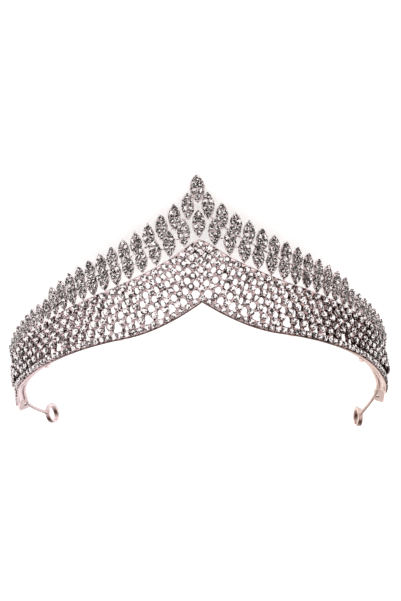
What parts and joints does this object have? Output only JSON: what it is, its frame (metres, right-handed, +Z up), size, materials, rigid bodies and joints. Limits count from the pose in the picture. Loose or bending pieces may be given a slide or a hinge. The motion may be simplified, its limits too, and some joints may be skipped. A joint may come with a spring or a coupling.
{
  "type": "v-shaped tiara",
  "caption": "Curved openwork tiara with a pointed centre: a net of round stones under two rows of stone-set leaves, on a base strip with wire end loops.",
  "frame": {"origin": "on the ground under the middle of the whole tiara as it lies on its apex leaf and its two end loops", "axes": "+Z up from the ground, +Y from the apex leaf towards the end loops, +X across towards the loop that is on the left when the tiara is worn and seen from the front"},
  "size_m": [0.1583, 0.1254, 0.0467],
  "materials": {
    "silver": "polished plated cast metal",
    "leaf_silver": "polished plated cast metal",
    "warm_silver": "satin plated metal with a pink to beige tint",
    "crystal": "cut and polished, foil-backed"
  },
  "bodies": {
    "root": {"band": "silver", "base_strip": "warm_silver", "base_wire": "warm_silver", "end_plate_left": "warm_silver", "end_plate_right": "warm_silver", "end_loop_left": "warm_silver", "end_loop_right": "warm_silver", "centre_leaf": "leaf_silver", "apex_leaf": "leaf_silver", "lower_leaves_left": "leaf_silver", "lower_leaves_right": "leaf_silver", "upper_leaves_left": "leaf_silver", "upper_leaves_right": "leaf_silver", "net_stones_left": "crystal", "net_stones_right": "crystal", "centre_leaf_stones": "crystal", "apex_leaf_stones": "crystal"}
  },
  "joints": []
}
